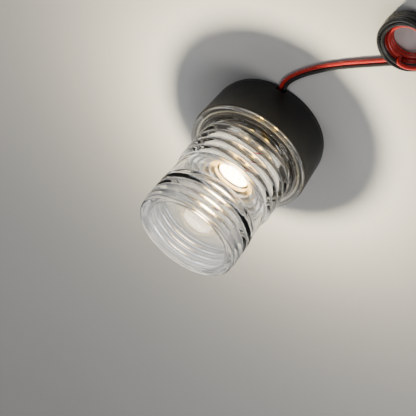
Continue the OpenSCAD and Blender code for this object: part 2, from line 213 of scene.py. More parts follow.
def block(size, centre, name="cutter"):
    deselectAll()
    bpy.ops.mesh.primitive_cube_add(size=1, location=[c * mm for c in centre], scale=[s * mm for s in size])
    return newlyAdded(name)


# camera

cameraSettings = {
    "azimuth": -13.3, "elevation": 33.3, "roll": -142.2, "aim": (0, 0, 0.0626), "distance": 0.3656,
    "lens": 67.2, "sensor": 36, "nearest": 0.01,
}


def makeCamera(s):
    side, above = math.radians(s["azimuth"]), math.radians(s["elevation"])
    back = Vector((math.sin(side) * math.cos(above), -math.cos(side) * math.cos(above), math.sin(above)))
    deselectAll()
    bpy.ops.object.camera_add(location=Vector(s["aim"]) + back * s["distance"])
    camera = bpy.context.object
    camera.name = "mainCamera"
    camera.rotation_mode = "QUATERNION"
    level = (-back).to_track_quat("-Z", "Y")
    camera.rotation_quaternion = level @ Quaternion((0, 0, 1), math.radians(s["roll"]))
    camera.data.lens = s["lens"]
    camera.data.sensor_width = s["sensor"]
    camera.data.clip_start = s["nearest"]
    bpy.context.scene.camera = camera


makeCamera(cameraSettings)
print("camera placed")


# the two supply leads

leadSettings = {
    "diameter": 1.8,
    "coilCentre": (-45, -91),
    "fade": 60,  # degrees over which a turn moves to its next place in the bundle
    "perTurn": 40,
}
redLead = {
    "name": "redLead",
    "length": 0.49,
    "exit": (0.001, 0, 0.0041),
    "route": [
        (1, 0, 11.3), (1, 0, 8), (1, 0, 5.4), (1, -0.8, 3.2), (1, -2.8, 1.7), (1, -6, 1.1),
        (1, -11, 1), (1, -16, 1), (1, -21, 1), (1, -26, 1), (1, -31, 1), (0.2, -35.4, 1),
        (-1.8, -39.6, 1), (-4.6, -43.8, 1), (-8, -48, 1), (-12, -52.4, 1), (-16.4, -56.6, 1),
        (-21, -60.6, 1), (-26, -64.6, 1), (-31, -68.4, 1), (-36, -72.2, 1.1),
        (-41, -76, 1.2), (-46, -79.6, 1.4), (-50.4, -82.8, 1.4)],
    # radius and height of each turn in the coil, and where in the turn it gets there
    "turns": [(9.9, 1.4, 0), (8.1, 1.4, 0), (8.1, 3.2, 0), (9.9, 3.2, 0), (9.9, 5, 0),
              (8.1, 5, 0), (8.3, 8.4, 150)],
    "coilAngles": (123.4, 96.8 + 360 * 6),
    "tail": [(-46, -82.6, 8.6), (-50.4, -83.2, 8.8), (-54.6, -85.4, 8), (-58.4, -88.6, 6),
             (-61.6, -92.4, 3.4), (-64, -96.4, 1.5), (-66, -100.6, 1)],
}
blackLead = {
    "name": "blackLead",
    "length": 0.5,
    "exit": (-0.001, 0, 0.0041),
    "route": [
        (-1, 0, 11.3), (-1, 0, 8), (-1, 0, 5.4), (-1, -0.8, 3.2), (-1, -2.8, 1.7), (-1, -6, 1.1),
        (-1, -11, 1), (-1, -16, 1), (-1, -21, 1), (-1, -26, 1), (-1, -30.6, 1), (-1.8, -34.6, 1),
        (-3.6, -38.4, 1), (-6.2, -42.4, 1), (-9.6, -46.6, 1), (-13.6, -50.8, 1), (-17.8, -55, 1),
        (-22.4, -59, 1), (-27.2, -62.8, 1), (-32.2, -66.6, 1), (-37.2, -70.4, 1.1),
        (-42.2, -74.2, 1.2), (-47.2, -77.8, 1.4), (-51.6, -81.2, 1.4)],
    "turns": [(11.7, 1.4, 0), (11.7, 3.2, 0), (11.7, 5, 0), (9.9, 6.8, 0), (11.7, 6.8, 120)],
    "coilAngles": (124, 118.8 + 360 * 5),
    "tail": [(-50.6, -80.8, 6.8), (-55, -83.6, 6.2), (-59, -86.8, 4.4), (-62.6, -90.2, 2.4),
             (-66, -94, 1.2), (-69, -98, 1)],
}


def coilPoints(lead, s):
    first, last = lead["coilAngles"]
    centreX, centreY = s["coilCentre"]
    count = round((last - first) / 360 * s["perTurn"])
    points = []
    for i in range(1, count):
        angle = first + (last - first) * i / count
        radius, height = lead["turns"][0][:2]
        for k, (r, z, late) in enumerate(lead["turns"][1:], 1):
            into = (angle - first - 360 * k - late) / s["fade"]
            share = min(max(into, 0), 1)
            share = share * share * (3 - 2 * share)
            radius += (r - radius) * share
            height += (z - height) * share
        points.append((centreX + radius * math.cos(math.radians(angle)),
                       centreY + radius * math.sin(math.radians(angle)), height))
    return points


def smoothRoute(points, between=4):
    # a Catmull-Rom curve through every point
    places = [Vector(p) for p in points]
    out = []
    for i in range(len(places) - 1):
        p0, p1 = places[max(i - 1, 0)], places[i]
        p2, p3 = places[i + 1], places[min(i + 2, len(places) - 1)]
        for j in range(between):
            t = j / between
            out.append(0.5 * (2 * p1 + (p2 - p0) * t + (2 * p0 - 5 * p1 + 4 * p2 - p3) * t * t
                              + (3 * p1 - p0 - 3 * p2 + p3) * t * t * t))
    return out + [places[-1]]


def tubeAlong(name, places, radius, resolution):
    # a capped tube through places in metres
    curve = bpy.data.curves.new(name, "CURVE")
    curve.dimensions = "3D"
    spline = curve.splines.new("POLY")
    spline.points.add(len(places) - 1)
    for point, place in zip(spline.points, places):
        point.co = (*place, 1)
    curve.bevel_depth = radius * mm
    curve.bevel_resolution = resolution
    curve.use_fill_caps = True
    obj = bpy.data.objects.new(name, curve)
    bpy.context.collection.objects.link(obj)
    return obj


def makeLead(lead, s):
    points = smoothRoute(lead["route"] + coilPoints(lead, s) + lead["tail"])
    cord = tubeAlong(lead["name"], [point * mm for point in points], s["diameter"] / 2, 4)
    for spline in cord.data.splines:
        spline.use_smooth = True
    length = sum((b - a).length for a, b in zip(points, points[1:]))
    print(lead["name"], "is", round(length), "mm long")
    return cord


redCord = makeLead(redLead, leadSettings)
blackCord = makeLead(blackLead, leadSettings)


# shared material effects

class treeMaker:
    # adds nodes; an input takes a value, or another node's socket, which is linked
    def __init__(self, tree):
        self.tree = tree

    def feed(self, socket, value):
        if isinstance(value, bpy.types.NodeSocket):
            self.tree.links.new(value, socket)
        else:
            socket.default_value = value

    def add(self, kind, inputs=None, **settings):
        node = self.tree.nodes.new(kind)
        for key, value in settings.items():
            setattr(node, key, value)
        for key, value in (inputs or {}).items():
            self.feed(node.inputs[key], value)
        return node

    def math(self, operation, *values, clamp=False):
        return self.add("ShaderNodeMath", dict(enumerate(values)), operation=operation, use_clamp=clamp).outputs[0]

    def times(self, a, b, clamp=False):
        return self.math("MULTIPLY", a, b, clamp=clamp)

    def spread(self, value, low, high, toLow=0, toHigh=1):
        ends = {"From Min": low, "From Max": high, "To Min": toLow, "To Max": toHigh}
        return self.add("ShaderNodeMapRange", {"Value": value, **ends}).outputs["Result"]

    def mix(self, factor, a, b):
        # the two colours are inputs 6 and 7
        first, second = [(*end, 1) if isinstance(end, tuple) else end for end in (a, b)]
        return self.add("ShaderNodeMix", {0: factor, 6: first, 7: second}, data_type="RGBA").outputs[2]

    def noise(self, place, scale, detail=2.0, rough=0.5):
        values = {"Vector": place, "Scale": scale, "Detail": detail, "Roughness": rough}
        return self.add("ShaderNodeTexNoise", values).outputs[0]


def newGroup(name, inputs, outputs):
    # takes a place and some numbers
    group = bpy.data.node_groups.new(name, "ShaderNodeTree")
    group.interface.new_socket(name="Vector", in_out="INPUT", socket_type="NodeSocketVector")
    for label, value in inputs.items():
        socket = group.interface.new_socket(name=label, in_out="INPUT", socket_type="NodeSocketFloat")
        socket.default_value = value
    for label, kind in outputs.items():
        group.interface.new_socket(name=label, in_out="OUTPUT", socket_type="NodeSocket" + kind)
    tree = treeMaker(group)
    return tree, tree.add("NodeGroupInput").outputs, tree.add("NodeGroupOutput").inputs


grainSettings = {"fineDetail": 4, "fineRough": 0.6, "cloudDetail": 3, "fineShare": 0.55, "cloudShare": 0.45}


def makeGrainGroup(s):
    # moulded or sprayed grain: a mask for tone and a height for bump
    tree, given, out = newGroup("fineGrain", {"Scale": 900, "Cloud Scale": 60},
                                {"Mask": "Float", "Height": "Float"})
    fine = tree.noise(given["Vector"], given["Scale"], s["fineDetail"], s["fineRough"])
    cloud = tree.noise(given["Vector"], given["Cloud Scale"], s["cloudDetail"])
    soft = tree.times(cloud, s["cloudShare"])
    tree.feed(out["Mask"], tree.math("MULTIPLY_ADD", fine, s["fineShare"], soft))
    tree.feed(out["Height"], fine)
    return tree.tree


wearSettings = {"radius": 0.00022, "samples": 4, "patchDetail": 4, "patch": (0.35, 0.65), "gain": 6}


def makeWearGroup(s):
    # where an edge is near, from how far a rounded normal leans away
    tree, given, out = newGroup("edgeWear", {"Amount": 0.5, "Patch Scale": 220},
                                {"Edge": "Float", "Rounded Normal": "Vector"})
    rounded = tree.add("ShaderNodeBevel", {"Radius": s["radius"]}, samples=s["samples"]).outputs[0]
    flat = tree.add("ShaderNodeNewGeometry").outputs["Normal"]
    lean = tree.add("ShaderNodeVectorMath", {0: rounded, 1: flat}, operation="DOT_PRODUCT").outputs["Value"]
    near = tree.math("SUBTRACT", 1, lean, clamp=True)
    worn = tree.spread(tree.noise(given["Vector"], given["Patch Scale"], s["patchDetail"]), *s["patch"])
    gain = tree.times(given["Amount"], s["gain"])
    tree.feed(out["Edge"], tree.times(tree.times(near, worn), gain, clamp=True))
    tree.feed(out["Rounded Normal"], rounded)
    return tree.tree


dustSettings = {
    "up": (-0.6, 1, 0.25, 1), "cloud": (110, 6, 0.7), "cloudRange": (0.35, 0.8),
    "specks": 420, "speckRange": (0.1, 0), "speckShare": 0.5,
}


def makeDustGroup(s):
    # a thin film, thicker on what faces up
    tree, given, out = newGroup("dustFilm", {"Amount": 0.1}, {"Film": "Float"})
    facing = tree.add("ShaderNodeNewGeometry").outputs["Normal"]
    up = tree.spread(tree.add("ShaderNodeSeparateXYZ", {"Vector": facing}).outputs["Z"], *s["up"])
    cloud = tree.spread(tree.noise(given["Vector"], *s["cloud"]), *s["cloudRange"])
    specks = tree.add("ShaderNodeTexVoronoi", {"Vector": given["Vector"], "Scale": s["specks"]})
    dots = tree.times(tree.spread(specks.outputs["Distance"], *s["speckRange"]), s["speckShare"])
    film = tree.math("ADD", tree.times(up, cloud), dots)
    tree.feed(out["Film"], tree.times(film, given["Amount"], clamp=True))
    return tree.tree


grainGroup = makeGrainGroup(grainSettings)
wearGroup = makeWearGroup(wearSettings)
dustGroup = makeDustGroup(dustSettings)
print("shared effects built")


# solid materials

def grey(value):
    return (value, value, value)


solidMaterials = {
    # colour and a second one for the mottling, roughness low and high, size and depth of the grain,
    # edge wear and its colour, dust, and values set straight on the shader
    "basePlastic": ((0.004, 0.004, 0.0045), (0.007, 0.007, 0.0075), (0.34, 0.48),
                    2600, 0.05, 0.25, grey(0.06), 0.015, {"Specular IOR Level": 0.3}),
    "coverPlastic": ((0.02, 0.02, 0.022), (0.035, 0.035, 0.036), (0.5, 0.65),
                     2000, 0.12, 0.2, grey(0.09), 0.05),
    "gasketRubber": ((0.022, 0.022, 0.024), (0.045, 0.045, 0.047), (0.7, 0.9), 1500, 0.3, 0.1, grey(0.08), 0.2),
    "sealRubber": (grey(0.012), grey(0.02), (0.38, 0.55), 1200, 0.06, 0, grey(0.05), 0.03),
    "steelScrews": ((0.6, 0.61, 0.63), (0.45, 0.46, 0.48), (0.18, 0.38),
                    1800, 0.04, 0.5, (0.85, 0.86, 0.88), 0, {"Metallic": 1.0}),
    "ferrite": ((0.05, 0.05, 0.053), grey(0.1), (0.45, 0.7), 3200, 0.25, 0.5, grey(0.2), 0),
    "chipBlack": ((0.016, 0.016, 0.017), grey(0.04), (0.45, 0.62), 3600, 0.18, 0.2, grey(0.1), 0),
    "capacitorSleeve": ((0.02, 0.04, 0.12), (0.03, 0.055, 0.15), (0.2, 0.32),
                        700, 0.04, 0.1, (0.2, 0.25, 0.4), 0, {"Coat Weight": 0.4}),
    "ledBody": ((0.86, 0.84, 0.78), (0.8, 0.77, 0.7), (0.3, 0.42), 2400, 0.03, 0, grey(0.9), 0),
    "tieNylon": ((0.014, 0.014, 0.015), (0.028, 0.028, 0.03), (0.35, 0.5), 1600, 0.1, 0.4, grey(0.12), 0.04),
    "redInsulation": ((0.5, 0.018, 0.014), (0.36, 0.012, 0.01), (0.22, 0.36),
                      1500, 0.05, 0, (0.6, 0.1, 0.1), 0.05, {"Coat Weight": 0.15}),
    "blackInsulation": ((0.012, 0.012, 0.013), (0.025, 0.025, 0.027), (0.24, 0.38),
                        1500, 0.05, 0, grey(0.1), 0.05, {"Coat Weight": 0.15}),
}
maskRange = (0.35, 0.65)
dustColour = (0.42, 0.40, 0.37)
dustRough = 0.5
bumpDepth = 0.0001


def startMaterial(name):
    material = bpy.data.materials.new(name)
    material.use_nodes = True
    tree = treeMaker(material.node_tree)
    place = tree.add("ShaderNodeTexCoord").outputs["Object"]
    return material, tree, place


def addGroup(tree, group, place, **values):
    return tree.add("ShaderNodeGroup", {"Vector": place, **values}, node_tree=group).outputs


def finishMaterial(tree, inputs, height=None, strength=0, distance=bumpDepth, normal=None):
    # sets or links the shader's inputs, with a bump made from a height
    shader = tree.tree.nodes["Principled BSDF"]
    if height is not None:
        bump = tree.add("ShaderNodeBump", {"Height": height, "Strength": strength, "Distance": distance})
        if normal is not None:
            tree.feed(bump.inputs["Normal"], normal)
        inputs = {**inputs, "Normal": bump.outputs[0]}
    for key, value in inputs.items():
        tree.feed(shader.inputs[key], value)
    return shader


def makeSolid(name, s):
    material, tree, place = startMaterial(name)
    colour, mottle, rough, grainSize, depth, wearAmount, worn, dust, *shader = s
    grain = addGroup(tree, grainGroup, place, Scale=grainSize)
    wear = addGroup(tree, wearGroup, place, Amount=wearAmount)
    film = addGroup(tree, dustGroup, place, Amount=dust)["Film"]
    tone = tree.mix(tree.spread(grain["Mask"], *maskRange), colour, mottle)
    tone = tree.mix(wear["Edge"], tone, worn)
    rough = tree.spread(grain["Mask"], *maskRange, *rough)
    inputs = {"Base Color": tree.mix(film, tone, dustColour),
              "Roughness": tree.math("ADD", rough, tree.times(film, dustRough), clamp=True)}
    for values in shader:
        inputs.update(values)
    finishMaterial(tree, inputs, grain["Height"], depth, normal=wear["Rounded Normal"])
    return material


materials = {name: makeSolid(name, s) for name, s in solidMaterials.items()}


aluminiumSettings = {
    "postAluminium": {"tones": ((0.52, 0.53, 0.55), (0.7, 0.71, 0.73)), "rough": (0.3, 0.7, 0.22, 0.45),
                      "stretch": (1, 1, 0.04), "streaks": (3400, 5), "wear": 0.6, "worn": (0.9, 0.9, 0.92),
                      "depth": 0.12},
}
tinnedSettings = {
    "tinnedCopper": {"tones": ((0.56, 0.55, 0.53), grey(0.82)), "rough": (0.3, 0.7, 0.2, 0.42), "grain": 2600},
}


def makeAluminium(name, s):
    # extruded and turned: fine streaks along the post
    material, tree, place = startMaterial(name)
    stretched = tree.add("ShaderNodeMapping", {"Vector": place, "Scale": s["stretch"]}).outputs[0]
    streak = tree.noise(stretched, *s["streaks"])
    wear = addGroup(tree, wearGroup, place, Amount=s["wear"])
    tone = tree.mix(wear["Edge"], tree.mix(streak, *s["tones"]), s["worn"])
    inputs = {"Metallic": 1, "Base Color": tone, "Roughness": tree.spread(streak, *s["rough"])}
    finishMaterial(tree, inputs, streak, s["depth"], normal=wear["Rounded Normal"])
    return material


def makeTinned(name, s):
    material, tree, place = startMaterial(name)
    mask = addGroup(tree, grainGroup, place, Scale=s["grain"])["Mask"]
    rough = tree.spread(mask, *s["rough"])
    finishMaterial(tree, {"Metallic": 1, "Base Color": tree.mix(mask, *s["tones"]), "Roughness": rough})
    return material


boardSettings = {
    "circuitBoard": {"mask": (0.02, 0.16, 0.06), "trace": (0.01, 0.09, 0.035), "scale": 260},
    "ledBoard": {"mask": (0.84, 0.84, 0.80), "trace": (0.74, 0.74, 0.69), "scale": 380},
}
boardFinish = {
    "gap": 0.012, "tracks": (0.8, 0.8, 0.8, 1), "grain": 1800, "wear": 0.3, "haze": 0.12,
    "hazeColour": (0.5, 0.5, 0.45), "rough": (0.3, 0.7, 0.28, 0.42), "depth": 0.2,
}


def makeBoard(name, s, finish=boardFinish):
    # solder mask with darker lines where the tracks run under it
    material, tree, place = startMaterial(name)
    tracks = tree.add("ShaderNodeTexBrick", {
        "Vector": place, "Scale": s["scale"], "Mortar Size": finish["gap"],
        "Color1": (1, 1, 1, 1), "Color2": finish["tracks"], "Mortar": (0, 0, 0, 1)}).outputs
    mask = addGroup(tree, grainGroup, place, Scale=finish["grain"])["Mask"]
    wear = addGroup(tree, wearGroup, place, Amount=finish["wear"])
    tone = tree.mix(tracks["Color"], s["trace"], s["mask"])
    haze = tree.times(mask, finish["haze"])
    inputs = {"Base Color": tree.mix(haze, tone, finish["hazeColour"]),
              "Roughness": tree.spread(mask, *finish["rough"])}
    finishMaterial(tree, inputs, tracks["Fac"], finish["depth"], bumpDepth / 2, wear["Rounded Normal"])
    return material


# painted glow on the top board and the LED frames, which are no lamps; rim and edge give the glow a painted orange
# rim
paintedGlowSettings = {
    "topBoard": {"strength": 26, "rim": (7.4, 8.1), "middle": (1, 0.93, 0.78), "mottle": (1, 0.9, 0.7),
                 "edge": (0.9, 0.42, 0.03)},
    "topLedBody": {"strength": 50, "rim": (8, 9), "middle": (1, 0.93, 0.78), "mottle": (1, 0.9, 0.72),
                   "edge": (1, 0.6, 0.2)},
}
paintedGlowFinish = {"rough": 0.4, "grain": 1800, "tones": ((0.86, 0.85, 0.8), (0.78, 0.77, 0.72)), "depth": 0.06}


def makePaintedGlowWhite(name, s, finish=paintedGlowFinish):
    # white plastic or solder mask with a painted glow: its emission stands in for the light of the LEDs scattered
    # on it, with a painted orange rim
    material, tree, place = startMaterial(name)
    flat = tree.add("ShaderNodeVectorMath", {0: place, 1: (1, 1, 0)}, operation="MULTIPLY").outputs[0]
    away = tree.add("ShaderNodeVectorMath", {0: flat}, operation="LENGTH").outputs["Value"]
    grain = addGroup(tree, grainGroup, place, Scale=finish["grain"])
    rim = tree.spread(away, *(reach * mm for reach in s["rim"]))
    tone = tree.mix(grain["Mask"], s["middle"], s["mottle"])
    # the emission is painted glow; the base colour is the white's own
    inputs = {"Roughness": finish["rough"], "Base Color": tree.mix(grain["Mask"], *finish["tones"]),
              "Emission Strength": s["strength"], "Emission Color": tree.mix(rim, tone, s["edge"])}
    finishMaterial(tree, inputs, grain["Height"], finish["depth"])
    return material


for make, settings in ((makePaintedGlowWhite, paintedGlowSettings), (makeAluminium, aluminiumSettings),
                       (makeTinned, tinnedSettings), (makeBoard, boardSettings)):
    for name, s in settings.items():
        materials[name] = make(name, s)
print("solid materials made")


# light and clear materials

glowSettings = {
    "sidePhosphor": {"deep": (1, 0.46, 0.03), "bright": (1, 0.70, 0.14), "strength": 110},
    "topPhosphor": {"deep": (1, 0.78, 0.40), "bright": (1, 0.90, 0.62), "strength": 200},
}
glowFinish = {"rough": 0.45, "cells": 2400, "clouds": (700, 3), "range": (0.2, 0.7),
              "tones": ((0.85, 0.55, 0.08), (0.95, 0.72, 0.2))}


def makePhosphor(name, s, finish=glowFinish):
    material, tree, place = startMaterial(name)
    cells = tree.add("ShaderNodeTexVoronoi", {"Vector": place, "Scale": finish["cells"]}).outputs["Distance"]
    halves = [tree.times(part, 0.5) for part in (cells, tree.noise(place, *finish["clouds"]))]
    share = tree.math("ADD", *halves, clamp=True)
    inputs = {"Roughness": finish["rough"], "Emission Strength": s["strength"],
              "Emission Color": tree.mix(tree.spread(share, *finish["range"]), s["deep"], s["bright"]),
              "Base Color": tree.mix(share, *finish["tones"])}
    finishMaterial(tree, inputs)
    return material


clearSettings = {
    "clearLens": {"tint": (0.985, 0.99, 0.995), "waves": 0.006, "rough": (0, 0.012)},
    "clearPrism": {"tint": (0.98, 0.985, 0.99), "waves": 0.01, "rough": (0, 0.03)},
    "frostedStep": {"tint": (0.99, 0.985, 0.97), "waves": 0.01, "rough": (0.1, 0.25)},
    # the steps next to the LEDs carry a painted orange glow: emission stands in for the LEDs' light scattered in
    # the frosted risers
    "litStep": {"tint": (0.99, 0.97, 0.9), "waves": 0.01, "rough": (0.15, 0.3),
                "lit": (1, 0.55, 0.06), "strength": 5},
}
clearFinish = {"ior": 1.57, "flow": 90, "smear": (240, 6, 0.7), "range": (0.5, 0.8),
               "shadow": (0.9, 0.92, 0.93, 1)}


def makeClear(name, s, finish=clearFinish):
    # light reaches what is inside, because shadow rays pass through
    material, tree, place = startMaterial(name)
    smear = tree.noise(place, *finish["smear"])
    inputs = {"Base Color": (*s["tint"], 1), "Transmission Weight": 1, "IOR": finish["ior"],
              "Roughness": tree.spread(smear, *finish["range"], *s["rough"])}
    # painted glow on glass that is no lamp
    if "lit" in s:
        inputs.update({"Emission Color": (*s["lit"], 1), "Emission Strength": s["strength"]})
    shader = finishMaterial(tree, inputs, tree.noise(place, finish["flow"]), s["waves"], bumpDepth * 2)
    through = tree.add("ShaderNodeBsdfTransparent", {"Color": finish["shadow"]})
    shadow = tree.add("ShaderNodeLightPath").outputs["Is Shadow Ray"]
    switch = tree.add("ShaderNodeMixShader", {0: shadow, 1: shader.outputs[0], 2: through.outputs[0]})
    tree.feed(tree.tree.nodes["Material Output"].inputs["Surface"], switch.outputs[0])
    return material


for make, settings in ((makePhosphor, glowSettings), (makeClear, clearSettings)):
    for name, s in settings.items():
        materials[name] = make(name, s)
print("light and clear materials made")


def wear(obj, *names):
    obj.data.materials.clear()
    for name in names:
        obj.data.materials.append(materials[name])


def settlePiece(obj, name, body, slot, *nodes):
    obj.name = name
    obj.data.name = name
    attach(obj, body)
    if nodes:
        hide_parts(*nodes)
    return obj


# lens

lensSettings = {
    "steps": 160, "smooth": 32,
    "spigotIn": 24.6, "spigotOut": 27, "spigotLow": 14.6, "chamfer": 0.3,
    "flangeLow": 24.7, "flangeTop": 26.7, "flangeRim": 31.4, "flangeRound": 0.2,
    "rootRadius": 26.4, "rootHeight": 28.1, "step": 0.5,
    "drum1Top": 50.6, "drum1Crest": 26.1, "drum1Ribs": 4, "ringGap": 0.1,
    "neck": 25.15, "neckLow": 24.75,
    "drum2Low": 63.4, "drum2Lip": 1.6, "drum2Crest": 25.6, "drum2Ribs": 4, "lipBack": 0.3,
    "endRimHeight": 2.6, "endRim": 25.2, "endRound": 1.3, "height": 83.2, "endThickness": 2.6,
    # inner walls and the neck open out or close by a hair from end to end, as a mould needs
    "inside1": 22.3, "inside1Low": 22.75, "insideRound": 1.4,
    "inside2": 21.1, "inside2Mid": 21.5, "inside2Low": 22.2,
    "ribDepth": 2, "ribPower": 0.8, "ribPoints": 18,
    # small steps away from a corner, out and up
    "rimFoot": [(0, 0.7), (-0.25, 0.4), (-1.2, 0.1)],
    "lipTop": [(-0.25, -0.05), (0, -0.3)],
    "lipFoot": [(0, 0.35), (-0.15, 0.1)],
    "neckFoot": [(0, 0.5), (0.1, 0.15)],
    "flare": [(0, -0.3), (0.16, -0.58), (0.5, -0.84), (1, -1.04), (1.7, -1.22)],
}


def ribOutline(top, low, ribs, crest, s):
    # convex faces between sharp grooves, from the top down
    pitch = (top - low) / ribs
    points = []
    for k in range(ribs):
        for i in range(s["ribPoints"] + 1):
            if k and i == 0:
                continue
            share = i / s["ribPoints"]
            swell = math.sin(math.pi * share) if 0 < share < 1 else 0
            radius = crest - s["ribDepth"] * (1 - swell ** s["ribPower"])
            points.append((radius, top - pitch * (k + share)))
    return points


def lensOutline(s):
    drum2Top = s["height"] - s["endRimHeight"]
    inTop, ringSeat = s["height"] - s["endThickness"], s["drum1Top"] - s["ringGap"]
    inner = [(s["spigotIn"] + s["chamfer"], s["spigotLow"]), (s["spigotIn"], s["spigotLow"] + s["chamfer"]),
             (s["spigotIn"], s["flangeTop"] - s["step"]), (s["inside1Low"], s["rootHeight"] + s["step"]),
             (s["inside1"], ringSeat), (s["inside2Low"], ringSeat), (s["inside2Mid"], s["drum2Low"])]
    inner += arc(s["inside2"] - s["insideRound"], inTop - s["insideRound"], s["insideRound"], 0, 90, 6)
    end = [(0, inTop), (0, s["height"])]
    end += arc(s["endRim"] - s["endRound"], s["height"] - s["endRound"], s["endRound"], 90, 0, 8)
    end += shifted(s["endRim"], drum2Top, s["rimFoot"])
    lip = s["drum2Crest"] - s["lipBack"]
    lipTop = s["drum2Low"] + s["drum2Lip"]
    drum2 = ribOutline(drum2Top, lipTop, s["drum2Ribs"], s["drum2Crest"], s)
    back = shifted(lip, lipTop, s["lipTop"]) + shifted(lip, s["drum2Low"], s["lipFoot"])
    neck = [(s["neck"], s["drum2Low"])] + shifted(s["neckLow"], s["drum1Top"], s["neckFoot"])
    drum1 = ribOutline(s["drum1Top"], s["rootHeight"], s["drum1Ribs"], s["drum1Crest"], s)
    flare = shifted(s["rootRadius"], s["rootHeight"], s["flare"])
    low, edge = s["flangeLow"], s["flangeRound"]
    flange = arc(s["flangeRim"] - edge, s["flangeTop"] - edge, edge, 90, 0, 4)
    flange += arc(s["flangeRim"] - edge, low + edge, edge, 0, -90, 4)
    spigot = [(s["spigotOut"], low), (s["spigotOut"], s["spigotLow"] + s["chamfer"]),
              (s["spigotOut"] - s["chamfer"], s["spigotLow"])]
    outline = inner + end + drum2 + back + neck + drum1 + flare + flange + spigot
    return outline + [outline[0]]


threadSettings = {
    "lead": 9, "width": 1.2, "crestWidth": 0.8, "stepsPerTurn": 90,
    "starts": {"count": 3, "angle": 11, "circle": 0},
    "lens": {"root": 26.8, "crest": 28.1, "height": 15.4, "turn": 225},
    "base": {"root": 28.7, "crest": 27.3, "height": 16.9, "turn": 180},
}


def threadRib(s, which, name):
    rib = s[which]
    half, crest = s["width"] / 2, s["crestWidth"] / 2
    outline = [(rib["root"], rib["height"] - half), (rib["root"], rib["height"] + half),
               (rib["crest"], rib["height"] + crest), (rib["crest"], rib["height"] - crest),
               (rib["root"], rib["height"] - half)]
    obj = closeMesh(drawOutline(name, outline))
    share = rib["turn"] / 360
    steps = round(s["stepsPerTurn"] * share)
    applyModifier(obj, "SCREW", angle=2 * math.pi * share, screw_offset=s["lead"] * share * mm, steps=steps,
                  render_steps=steps, axis="Z", use_normal_calculate=True, use_smooth_shade=False)
    startEdit(obj)
    bpy.ops.mesh.select_all(action="DESELECT")
    bpy.ops.mesh.select_mode(type="EDGE")
    bpy.ops.mesh.select_non_manifold()
    bpy.ops.mesh.fill_holes(sides=0)
    endEdit()
    return around(closeMesh(obj), s["starts"])


def makeLens(s, thread):
    lens = spinOutline("ribbedLens", lensOutline(s), s["steps"], s["smooth"])
    combine(lens, threadRib(thread, "lens", "lensThread"), "UNION")
    settle(lens, s["smooth"])
    wear(lens, "clearLens")
    settlePiece(lens, "ribbedLens", "lens", "clear_lens", "fresnel_lens")


makeLens(lensSettings, threadSettings)
print("lens made")


prismSettings = {
    "inner": 9.2, "outer": 22.2, "low": 40, "top": 50.4, "terraces": 5, "rim": 1.8, "steps": 128, "smooth": 28,
    "draft": 0.3, "drop": 0.2, "edge": 0.2, "firstRise": 0.4, "underside": 0.6, "treadFall": 0.03,
    # the rounded head of each riser, out from the draft and up from the head
    "head": [(0.1, -0.04), (0.3, 0)], "shoulder": (0.85, 0.25),
    # how far out the painted glow reaches on the risers, and how steep a face must be to count as a riser
    "litReach": 0.1, "steep": 0.5,
}


def makePrismRing(s):
    # terraces that climb from the LED disc to the neck
    tread = (s["outer"] - s["inner"]) / s["terraces"]
    riser = (s["top"] - s["low"]) / s["terraces"]
    lean, below = s["shoulder"]
    points = []
    for k in range(s["terraces"]):
        near, floor = s["inner"] + k * tread, s["low"] + k * riser
        head = floor + riser - s["drop"]
        points += [(near, floor + (s["firstRise"] if k == 0 else 0)), (near + s["draft"] * lean, head - below)]
        points += shifted(near + s["draft"], head, s["head"])
        if k < s["terraces"] - 1:
            points += [(near + tread - s["edge"], floor + riser - s["treadFall"])]
    points += [(s["outer"] - s["edge"], s["top"]), (s["outer"], s["top"] - s["edge"]),
               (s["outer"], s["top"] - s["rim"]), (s["inner"], s["low"] - s["underside"])]
    ring = spinOutline("prismRing", points + [points[0]], s["steps"], s["smooth"])
    wear(ring, "clearPrism", "frostedStep", "litStep")
    # steep faces: frosted all over, then given a painted glow next to the LEDs
    for index, reach in ((1, s["outer"] + 1), (2, s["inner"] + s["draft"] + s["litReach"])):
        selectFaces(ring, lambda centre, normal: abs(normal.z) < s["steep"] and centre.xy.length < reach * mm)
        assignMaterial(ring, index)
        endEdit()
    settlePiece(ring, "prismRing", "lens", "clear_prism", "prism_ring")


makePrismRing(prismSettings)
print("prism ring made")


# base

baseSettings = {
    "steps": 144, "smooth": 32,
    "radius": 32, "back": 31.2, "backRound": 2.4, "low": 1.2, "top": 24.4, "rimRound": 0.5,
    "seatRadius": 29.7, "seat": 22.2, "bore": 28.4, "floor": 6.2, "mouth": 0.25, "seatEdge": 0.2, "floorRound": 1,
    "mount": {"count": 3, "angle": 90, "circle": 22, "boss": 4.8, "top": 7.6,
              "hole": 2.1, "head": 4, "headLow": 5.2},
    "ear": {"count": 3, "angle": 30, "circle": 19.2, "boss": 3, "top": 8.8},
    "standoff": {"count": 3, "angle": 45, "circle": 11, "boss": 2.2, "top": 11.4},
    "bossRound": 0.25, "bossSink": 0.6,
    "pilot": 1.1, "pilotDepth": 4, "grommet": 3.4, "channel": (4.6, 33, 4.1),
}


def baseOutline(s):
    edge, mouth, foot = s["seatEdge"], s["mouth"], s["floorRound"]
    back, rim = s["backRound"], s["rimRound"]
    points = [(0, s["low"])] + arc(s["back"] - back, s["low"] + back, back, -90, 0, 10)
    points += arc(s["radius"] - rim, s["top"] - rim, rim, 0, 90, 6)
    points += [(s["seatRadius"] + mouth, s["top"]), (s["seatRadius"], s["top"] - mouth),
               (s["seatRadius"], s["seat"] + edge), (s["seatRadius"] - edge, s["seat"]),
               (s["bore"] + edge, s["seat"]), (s["bore"], s["seat"] - edge)]
    points += arc(s["bore"] - foot, s["floor"] + foot, foot, 0, -90, 6)
    return points + [(0, s["floor"])]


def bosses(post, s, name):
    # posts with a rounded top edge, standing into the floor by a hair
    low, high = s["floor"] - s["bossSink"], (post["top"] - 0.1) * mm
    boss = cylinder(post["boss"], post["top"] - low, low, 56, name)
    bevelEdges(boss, s["bossRound"], 3, lambda a, b: min(a.z, b.z) > high)
    return around(boss, post)


